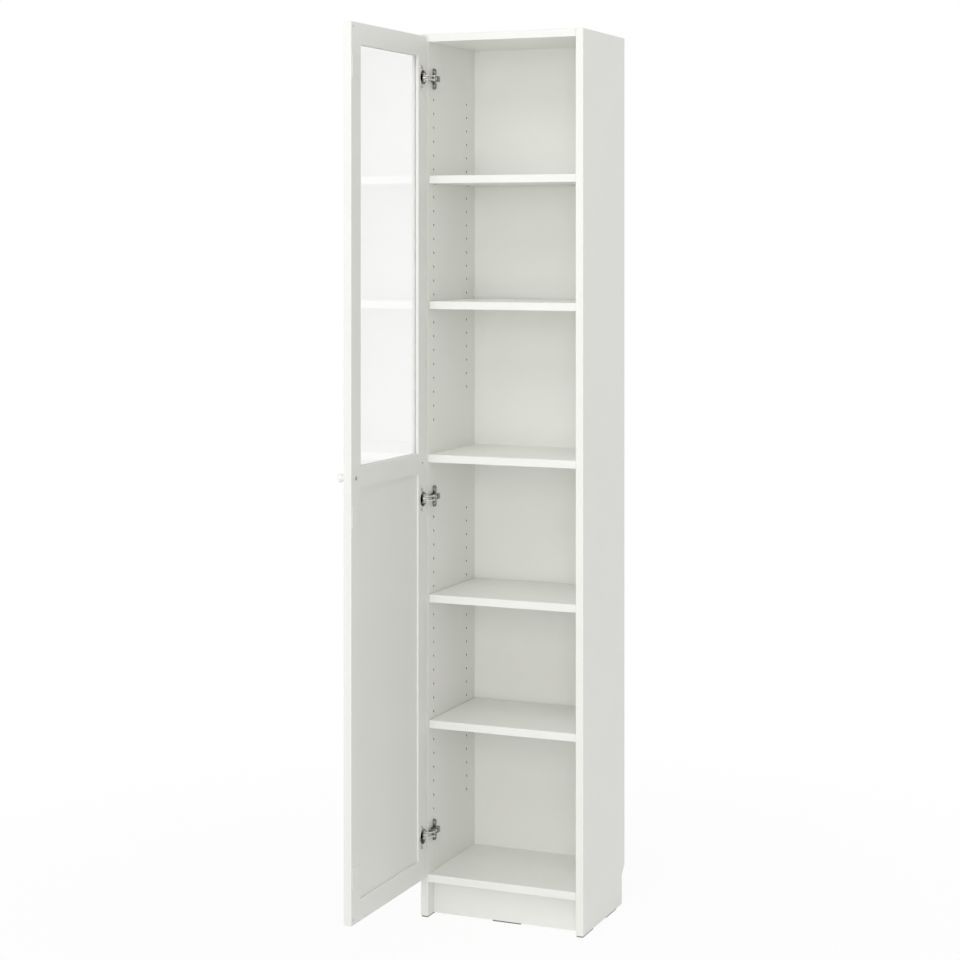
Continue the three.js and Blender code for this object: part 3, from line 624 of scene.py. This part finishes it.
def add_hinge_screws():
    first = HINGE_HEIGHTS[0]
    repeat(pan_screw("plate_screw", LEFT_FACE + 2.2 * MM, PLATE_SCREW_Y, first, 4 * MM, 1.9 * MM),
           hinge_shifts(-PLATE_SCREW_REACH, PLATE_SCREW_REACH), "carcass", SCREW)
    repeat(pan_screw("cup_screw", DOOR_INNER_FACE + 1.4 * MM, CUP_SCREW_Y, first, 3.7 * MM, 1.4 * MM),
           hinge_shifts(-CUP_SCREW_REACH, CUP_SCREW_REACH), "door", SCREW)
    # The fixing screws in the brighter nickel copy, a painted highlight, with painted shade in their
    # recesses
    repeat(pan_screw("fixing_screw", ARM_TOP - 1.4 * MM, FIXING_SCREW_Y, first, 3.5 * MM, 1.9 * MM),
           hinge_shifts(0), "carcass", PAINTED_HIGHLIGHT_AND_SHADE)
    # The overlay screws in the very dark nickel copy, painted shade, with near-black painted shade in
    # their recesses
    repeat(pan_screw("overlay_screw", ARM_TOP - 1.6 * MM, OVERLAY_SCREW_Y, first, 2.6 * MM, 1.2 * MM),
           hinge_shifts(0), "carcass", ("painted_shade_nickel", "painted_shade_steel"))


# Knob and its screw

def add_knob():
    _, y, z = middle("door_knob")
    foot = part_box("door_knob")[1][0]
    foot_radius, foot_depth = 6.5 * MM, 0.3 * MM
    # Each ring's distance out from the door and its radius, in millimetres
    outline = (
        (0.6, 6.6), (1.0, 6.1), (2.5, 5.35), (5.0, 4.95), (7.5, 4.95), (9.5, 5.4), (11.5, 6.6),
        (13.3, 8.3), (15.0, 9.75), (16.6, 10.35), (17.6, 10.45), (18.6, 10.2), (19.6, 9.5),
        (20.6, 8.1), (21.3, 6.2), (21.7, 3.8), (21.85, 1.6),
    )
    rings = [(foot - out * MM, radius * MM) for out, radius in outline]
    knob = begin("turned_knob", bpy.ops.mesh.primitive_cylinder_add, vertices=48, radius=foot_radius,
                 depth=foot_depth, location=(foot - foot_depth / 2, y, z), rotation=ALONG_X)
    edit(knob)
    pick(knob, "FACE", lambda face: face.normal.x < -0.9)
    draw_out(0, foot - foot_depth, foot_radius, (foot, y, z), rings)
    finish_edit(knob, 60)
    apply_modifier(knob, "SUBSURF", levels=1)
    smooth_curves(knob, 60)
    install(knob, "door", ("knob",), "door_knob")


def add_knob_screw():
    low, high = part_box("door_knob_screw")
    _, y, z = middle("door_knob_screw")
    head = pan_screw("knob_screw", high[0] - 1.7 * MM, y, z, 4.2 * MM, 1.6 * MM)
    start = high[0] - 1.2 * MM
    shank = begin("shank", bpy.ops.mesh.primitive_cylinder_add, vertices=24, radius=1.9 * MM, depth=1 * MM,
                  location=(start - 0.5 * MM, y, z), rotation=ALONG_X)
    edit(shank)
    pick(shank, "FACE", lambda face: face.normal.x < -0.9)
    tip = low[0]
    rings = [(tip + 3 * MM, 1.9 * MM), (tip + 1 * MM, 1.5 * MM), (tip + 0.1 * MM, 0.7 * MM)]
    draw_out(0, start - 1 * MM, 1.9 * MM, (start, y, z), rings)
    finish_edit(shank)
    join(head, shank)
    install(head, "door", SCREW, "door_knob_screw")


# Shelf pins, with a collar, a rounded nose and a flat under the shelf

def add_pins():
    _, y, z = middle("shelf_pin_1_left_front")
    (hole_end, _, _), (nose, _, _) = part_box("shelf_pin_1_left_front")
    # Each ring's distance out from the side and its radius, in millimetres
    rings = (
        (-9.3, 2.45), (-0.1, 2.45), (-0.05, 3.55), (0.1, 3.7), (0.6, 3.7), (0.75, 3.5), (0.8, 2.5),
        (7.8, 2.45), (8.5, 2.1), (8.75, 1.5),
    )
    pin = begin("pin", bpy.ops.mesh.primitive_cylinder_add, vertices=28, radius=2 * MM, depth=0.2 * MM,
                location=(hole_end + 0.1 * MM, y, z), rotation=ALONG_X)
    edit(pin)
    pick(pin, "FACE", lambda face: face.normal.x > 0.9)
    start = LEFT_FACE + 0.2 * MM
    places = [(start + out * MM, radius * MM) for out, radius in rings]
    draw_out(0, hole_end + 0.2 * MM, 2 * MM, (hole_end, y, z), places)
    finish_edit(pin)
    flat_start = start + 0.85 * MM
    flat = begin("flat", bpy.ops.mesh.primitive_cube_add, size=1,
                 location=((flat_start + nose + MM) / 2, y, z + (1.9 + 2) * MM),
                 scale=(nose + MM - flat_start, 8 * MM, 4 * MM))
    cut(pin, flat)
    for shelf in range(1, 5):
        for side in ("left", "right"):
            for place in ("front", "rear"):
                node = f"shelf_pin_{shelf}_{side}_{place}"
                _, pin_y, pin_z = middle(node)
                twin = duplicate(pin, f"turned_pin_{shelf}_{side}_{place}")
                twin.data.transform(Matrix.Translation((0, pin_y - y, pin_z - z)))
                if side == "right":
                    twin.data.transform(Matrix.Diagonal((-1, 1, 1, 1)))
                    edit(twin)
                    finish_edit(twin)
                install(twin, "carcass", ("nickel",), node)
    bpy.data.objects.remove(pin)


# Thin white strips that bed the glass in its groove, on both of its faces

def add_glazing_strips():
    glass_low, glass_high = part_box("door_glass")
    rail_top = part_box("door_middle_rail")[1][2]
    rail_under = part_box("door_top_rail")[0][2]
    low_y, high_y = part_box("door_free_stile")[1][1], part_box("door_hinge_stile")[0][1]
    centre_y, centre_z = (low_y + high_y) / 2, (rail_top + rail_under) / 2
    reach = 1.4 * MM
    for name, x, out in (("inner", glass_high[0], 1), ("outer", glass_low[0], -1)):
        strip = begin(f"glazing_strip_{name}", bpy.ops.mesh.primitive_plane_add, size=1,
                      location=(x + out * 0.03 * MM, centre_y, centre_z), rotation=ALONG_X)
        edit(strip)
        bpy.ops.mesh.select_all(action="SELECT")
        size = (1, high_y - low_y + 2 * reach, rail_under - rail_top + 2 * reach)
        bpy.ops.transform.resize(value=size, center_override=(x, centre_y, centre_z))
        bpy.ops.mesh.inset(thickness=2 * reach)
        bpy.ops.mesh.delete(type="FACE")
        bpy.ops.mesh.select_all(action="SELECT")
        bpy.ops.mesh.extrude_region_move(TRANSFORM_OT_translate={"value": (out * 0.22 * MM, 0, 0)})
        finish_edit(strip)
        apply_modifier(strip, "BEVEL", width=0.08 * MM, segments=2)
        install(strip, "door", ("strip",))


# Small domes that cushion the closing door

def add_bumpers():
    low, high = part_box("door_free_stile")
    y = low[1] + 8 * MM
    for name, z in (("top", high[2] - 9 * MM), ("bottom", low[2] + 11 * MM)):
        dome = begin(f"bumper_{name}", bpy.ops.mesh.primitive_cylinder_add, vertices=32, radius=3.6 * MM,
                     depth=0.4 * MM, location=(high[0] + 0.2 * MM, y, z), rotation=ALONG_X)
        edit(dome)
        pick(dome, "FACE", lambda face: face.normal.x > 0.9)
        rings = [(high[0] + out * MM, radius * MM)
                 for out, radius in ((0.8, 3.45), (1.15, 3.0), (1.4, 2.2), (1.5, 1.1))]
        draw_out(0, high[0] + 0.4 * MM, 3.6 * MM, (high[0], y, z), rings)
        finish_edit(dome, 60)
        install(dome, "door", ("bumper",))


# Nails round the back sheet, into the boards that it lies on

def add_back_nails():
    (left, _, under), (right, rear, top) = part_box("back_panel")
    edge_inset, end_inset, gaps = 7 * MM, 20 * MM, 4
    boards = [middle("fixed_shelf")[2], under + edge_inset, top - edge_inset]
    nail = begin("back_nail", bpy.ops.mesh.primitive_cylinder_add, vertices=20, radius=2 * MM,
                 depth=0.3 * MM, location=(0, rear + 0.15 * MM, boards[0]), rotation=ALONG_Y)
    edit(nail)
    pick(nail, "FACE", lambda face: face.normal.y > 0.9)
    rings = [(rear + 0.6 * MM, 1.9 * MM), (rear + 0.85 * MM, 1.3 * MM), (rear + 0.95 * MM, 0.6 * MM)]
    draw_out(1, rear + 0.3 * MM, 2 * MM, (0, rear, boards[0]), rings)
    finish_edit(nail)
    span = right - left - 2 * end_inset
    shifts = [(left + end_inset + span * step / gaps, 0, board - boards[0])
              for board in boards for step in range(gaps + 1)]
    repeat(nail, shifts, "carcass", ("screw_steel",))


# Cam locks that draw the fixed boards to the sides

def add_cam_locks():
    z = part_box("fixed_shelf")[0][2]
    x, y = LEFT_FACE + 24 * MM, 10 * MM
    front_to_rear = 180 * MM
    lock = begin("cam_lock", bpy.ops.mesh.primitive_cylinder_add, vertices=40, radius=7.4 * MM,
                 depth=0.3 * MM, location=(x, y, z - 0.15 * MM))
    edit(lock)
    pick(lock, "FACE", lambda face: face.normal.z < -0.9)
    bpy.ops.mesh.inset(thickness=0.8 * MM)
    bpy.ops.transform.translate(value=(0, 0, -0.25 * MM))
    bpy.ops.mesh.inset(thickness=1.4 * MM)
    bpy.ops.transform.translate(value=(0, 0, 0.25 * MM))
    finish_edit(lock)
    slot = begin("slot", bpy.ops.mesh.primitive_cube_add, size=1, location=(x, y, z - 0.3 * MM),
                 scale=(7 * MM, 1.4 * MM, 0.5 * MM))
    cross = begin("cross", bpy.ops.mesh.primitive_cube_add, size=1, location=(x, y, z - 0.3 * MM),
                  scale=(1.4 * MM, 4.4 * MM, 0.5 * MM))
    cut(lock, slot, cross)
    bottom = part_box("bottom_panel")[0][2]
    shifts = [(across, back, under) for across in (0, -2 * x) for back in (0, front_to_rear)
              for under in (0, bottom - z)]
    repeat(lock, shifts, "carcass", ("screw_steel",))


add_pressed_hinges()
add_plate_ears()
add_hinge_screws()
add_knob()
add_knob_screw()
add_pins()
add_glazing_strips()
add_bumpers()
add_back_nails()
add_cam_locks()


# Studio

def seen_rays(tree):
    """One for the rays that show a thing itself: to the camera, off a gloss or through the glass."""
    rays = tree.nodes.new("ShaderNodeLightPath").outputs
    return Wire(rays["Is Camera Ray"]) + Wire(rays["Is Glossy Ray"]) + Wire(rays["Is Transmission Ray"])


def add_floor():
    """A pale floor that takes the shadow and fades to white away from the bookcase."""
    bpy.ops.object.select_all(action="DESELECT")
    bpy.ops.mesh.primitive_plane_add(size=40, location=(0, 0, 0))
    floor = bpy.context.object
    floor.name = "studio_floor"
    material, shader, surface = new_material("studio_floor")
    surface["Base Color"].default_value = (0.95, 0.95, 0.95, 1)
    surface["Roughness"].default_value = 0.9
    surface["Specular IOR Level"].default_value = 0.0
    seen = seen_rays(material.node_tree)
    glow = shader.node("ShaderNodeEmission", {}, {"Color": (1, 1, 1), "Strength": 1.0})
    lit = Wire(material.node_tree.nodes["Principled BSDF"].outputs[0])
    x, y, _ = shader.axes()
    apart = (x ** 2 + (y + 0.1) ** 2) ** 0.5
    far = shader.node("ShaderNodeMapRange", {}, {"Value": apart, "From Min": 0.5, "From Max": 2.0,
                                                 "To Min": 0.91, "To Max": 1.0})
    mixed = shader.node("ShaderNodeMixShader", {}, {0: seen * far, 1: lit, 2: glow})
    output = material.node_tree.nodes["Material Output"]
    shader.set(output.inputs["Surface"], mixed)
    floor.data.materials.append(material)


def set_world():
    world = bpy.data.worlds.new("studio")
    bpy.context.scene.world = world
    world.use_nodes = True
    tree = world.node_tree
    shader = Shader(tree)
    tree.nodes.clear()
    seen = seen_rays(tree)
    soft = shader.node("ShaderNodeBackground", {}, {"Color": (1, 1, 0.995), "Strength": 0.5})
    white = shader.node("ShaderNodeBackground", {}, {"Color": (1, 1, 1), "Strength": 1.0})
    mixed = shader.node("ShaderNodeMixShader", {}, {0: seen, 1: soft, 2: white})
    output = tree.nodes.new("ShaderNodeOutputWorld")
    shader.set(output.inputs["Surface"], mixed)


def add_lamp(name, place, target, size, power):
    data = bpy.data.lights.new(name, "AREA")
    data.shape = "SQUARE"
    data.size = size
    data.energy = power
    lamp = bpy.data.objects.new(name, data)
    lamp.location = place
    lamp.rotation_euler = (Vector(target) - Vector(place)).to_track_quat("-Z", "Y").to_euler()
    lamp.visible_camera = lamp.visible_transmission = False
    bpy.context.scene.collection.objects.link(lamp)


add_floor()
set_world()
add_lamp("front_lamp", (1.2, -5.0, 1.6), (0, 0, 1.1), 3.0, 62)
add_lamp("right_lamp", (2.6, 2.6, 2.2), (0.2, 0.1, 1.0), 2.5, 14)
add_lamp("high_lamp", (0.0, -3.0, 4.2), (0, -2.0, 0), 3.0, 66)
add_lamp("rear_lamp", (-1.8, 4.5, 2.4), (0, 0, 1.1), 3.0, 36)

scene = bpy.context.scene
scene.view_settings.view_transform = "Standard"
